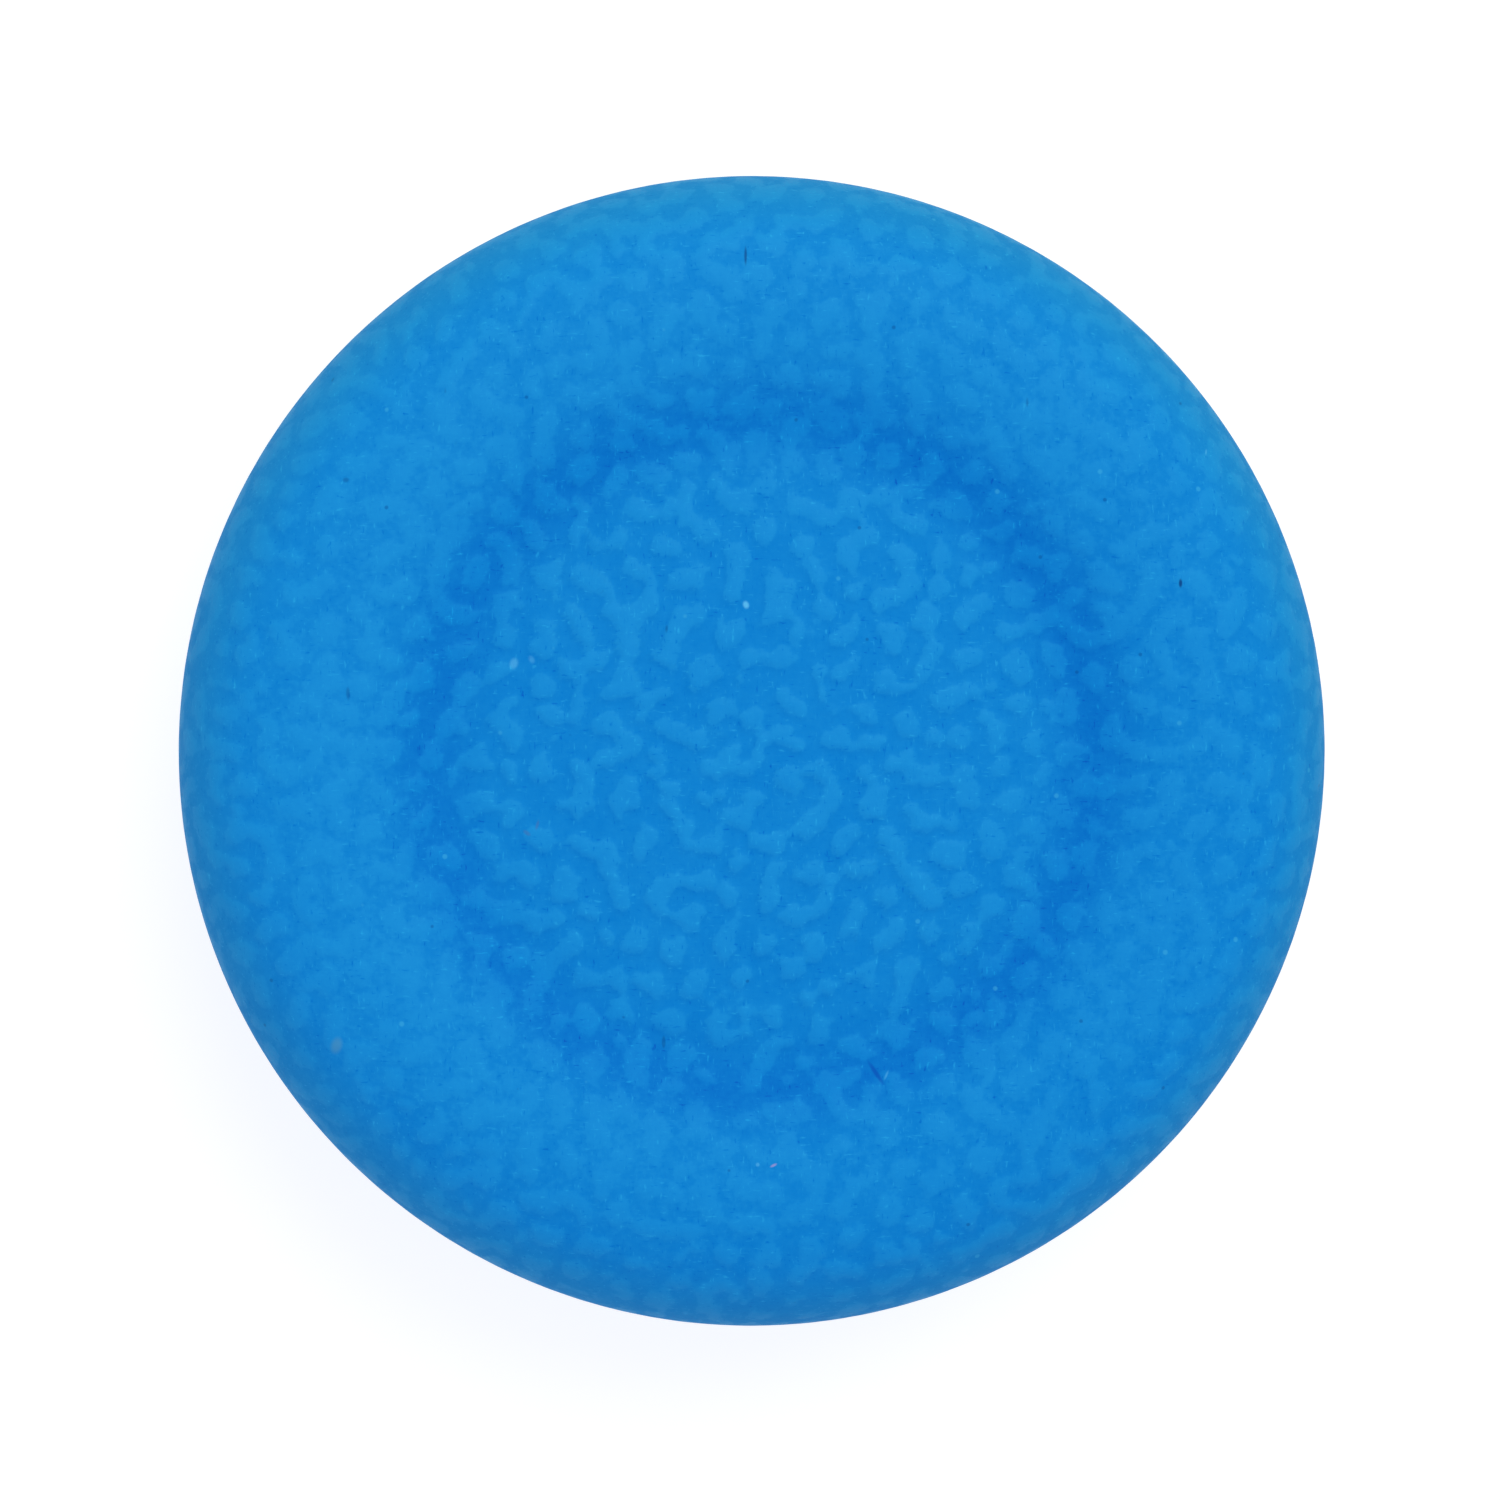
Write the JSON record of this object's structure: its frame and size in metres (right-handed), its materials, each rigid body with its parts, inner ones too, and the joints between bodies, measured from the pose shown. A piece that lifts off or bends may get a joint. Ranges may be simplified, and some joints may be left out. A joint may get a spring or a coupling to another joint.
{
  "type": "thumbstick cap",
  "caption": "Round press-on thumbstick cap with a raised ring, a low domed centre and a hollow underside with a ribbed hub and a keyed socket.",
  "frame": {"origin": "centre of the flat foot of the hub, on the surface that the cap stands on", "axes": "+Z is the cap's axis, out of the thumb face; +X runs along the socket's longer side"},
  "size_m": [0.0144, 0.0144, 0.0044],
  "materials": {
    "cap_plastic": "bright blue plastic, with a worm-like moulded grain on the thumb face and a plain satin underside"
  },
  "bodies": {
    "root": {"thumbstick_cap": "cap_plastic"}
  },
  "joints": []
}
